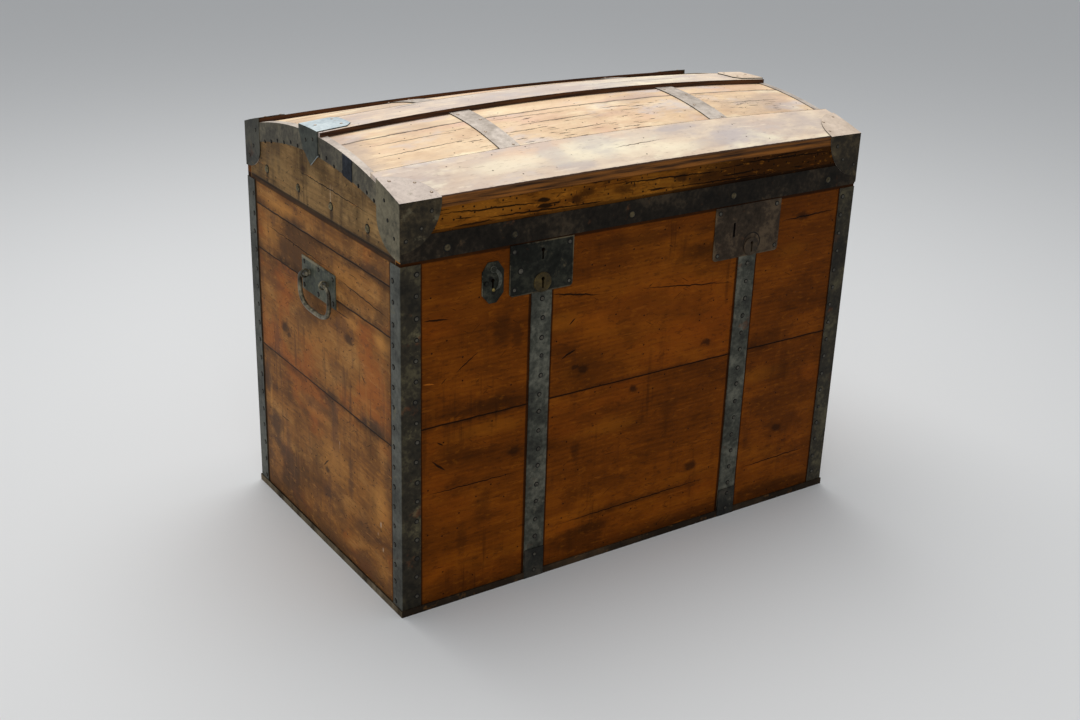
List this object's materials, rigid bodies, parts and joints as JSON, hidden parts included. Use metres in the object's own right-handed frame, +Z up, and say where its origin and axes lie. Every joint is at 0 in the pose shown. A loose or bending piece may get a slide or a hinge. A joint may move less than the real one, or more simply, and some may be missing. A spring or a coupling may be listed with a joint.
{
  "type": "dome top trunk",
  "caption": "Dome top trunk of nailed pine boards bound in sheet iron, with a hinged lid crowned both ways, locks, swinging keyhole cover and hanging bail handles.",
  "frame": {"origin": "middle of the flat underside of the box", "axes": "+X along the length to the right seen from the front, +Y from the front to the back, +Z up"},
  "size_m": [0.9566, 0.5707, 0.761],
  "materials": {
    "varnished_pine": "worn varnish",
    "end_pine": "worn, stained",
    "bottom_pine": "rough sawn",
    "rim_pine": "cracked, dark",
    "deck_pine": "bare, weathered",
    "slat_wood": "bare, weathered",
    "angle_iron": "worn japanning",
    "cap_iron": "worn japanning",
    "clamp_iron": "dull",
    "strap_iron": "dull",
    "band_iron": "worn japanning",
    "brass": "tarnished",
    "lock_iron": "dull",
    "handle_iron": "worn",
    "nail_iron": "worn",
    "inner_steel": "dull"
  },
  "bodies": {
    "box": {"back_left_corner_angle": "angle_iron", "back_lower_board": "varnished_pine", "back_right_corner_angle": "angle_iron", "back_upper_board": "varnished_pine", "bottom_boards": "bottom_pine", "escutcheon_plate": "lock_iron", "escutcheon_rivets": "brass", "front_left_corner_angle": "angle_iron", "front_lower_board": "varnished_pine", "front_right_corner_angle": "angle_iron", "front_upper_board": "varnished_pine", "hinge_pins": "inner_steel", "key_discs": "brass", "left_back_strap": "strap_iron", "left_bottom_strap": "strap_iron", "left_end_boards": "end_pine", "left_front_strip": "strap_iron", "left_handle_eyes": "handle_iron", "left_handle_plate": "handle_iron", "left_lock_case": "inner_steel", "left_lock_plate": "lock_iron", "right_back_strap": "strap_iron", "right_bottom_strap": "strap_iron", "right_end_boards": "end_pine", "right_front_strip": "strap_iron", "right_handle_eyes": "handle_iron", "right_handle_plate": "handle_iron", "right_lock_case": "inner_steel", "right_lock_plate": "lock_iron"},
    "lid": {"back_left_corner_cap": "cap_iron", "back_right_corner_cap": "cap_iron", "band_splice_plate": "band_iron", "deck_plank_1": "deck_pine", "deck_plank_2": "deck_pine", "deck_plank_3": "deck_pine", "deck_plank_4": "deck_pine", "front_left_corner_cap": "cap_iron", "front_right_corner_cap": "cap_iron", "front_slat": "slat_wood", "left_arch_band": "band_iron", "left_lid_strap": "strap_iron", "left_slat_clamp": "clamp_iron", "lid_back_rim": "rim_pine", "lid_front_rim": "rim_pine", "lid_left_end": "end_pine", "lid_right_end": "end_pine", "lid_rim_band": "band_iron", "lid_strikers": "inner_steel", "middle_slat": "slat_wood", "rear_slat": "slat_wood", "right_arch_band": "band_iron", "right_lid_strap": "strap_iron", "right_slat_clamp": "clamp_iron"},
    "left_lock_bolt": {"left_lock_bolt": "inner_steel"},
    "right_lock_bolt": {"right_lock_bolt": "inner_steel"},
    "keyhole_cover": {"keyhole_cover": "lock_iron"},
    "left_handle_bail": {"left_handle_bail": "handle_iron"},
    "right_handle_bail": {"right_handle_bail": "handle_iron"}
  },
  "joints": [
    {"name": "lid_hinge", "type": "hinge", "parent": "box", "child": "lid", "pos_m": [0, 0.2828, 0.605], "axis": [-1, 0, 0], "range_deg": [0, 105]},
    {"name": "left_bail_swing", "type": "hinge", "parent": "box", "child": "left_handle_bail", "pos_m": [-0.47, 0, 0.496], "axis": [0, 1, 0], "range_deg": [-4, 184]},
    {"name": "right_bail_swing", "type": "hinge", "parent": "box", "child": "right_handle_bail", "pos_m": [0.47, 0, 0.496], "axis": [0, -1, 0], "range_deg": [-4, 184]},
    {"name": "keyhole_cover_swing", "type": "hinge", "parent": "box", "child": "keyhole_cover", "pos_m": [-0.3005, -0.2793, 0.5715], "axis": [0, -1, 0], "range_deg": [-38, 70]},
    {"name": "left_bolt_slide", "type": "slide", "parent": "box", "child": "left_lock_bolt", "axis": [1, 0, 0], "range_m": [0, 0.01]},
    {"name": "right_bolt_slide", "type": "slide", "parent": "box", "child": "right_lock_bolt", "axis": [1, 0, 0], "range_m": [0, 0.01]}
  ]
}
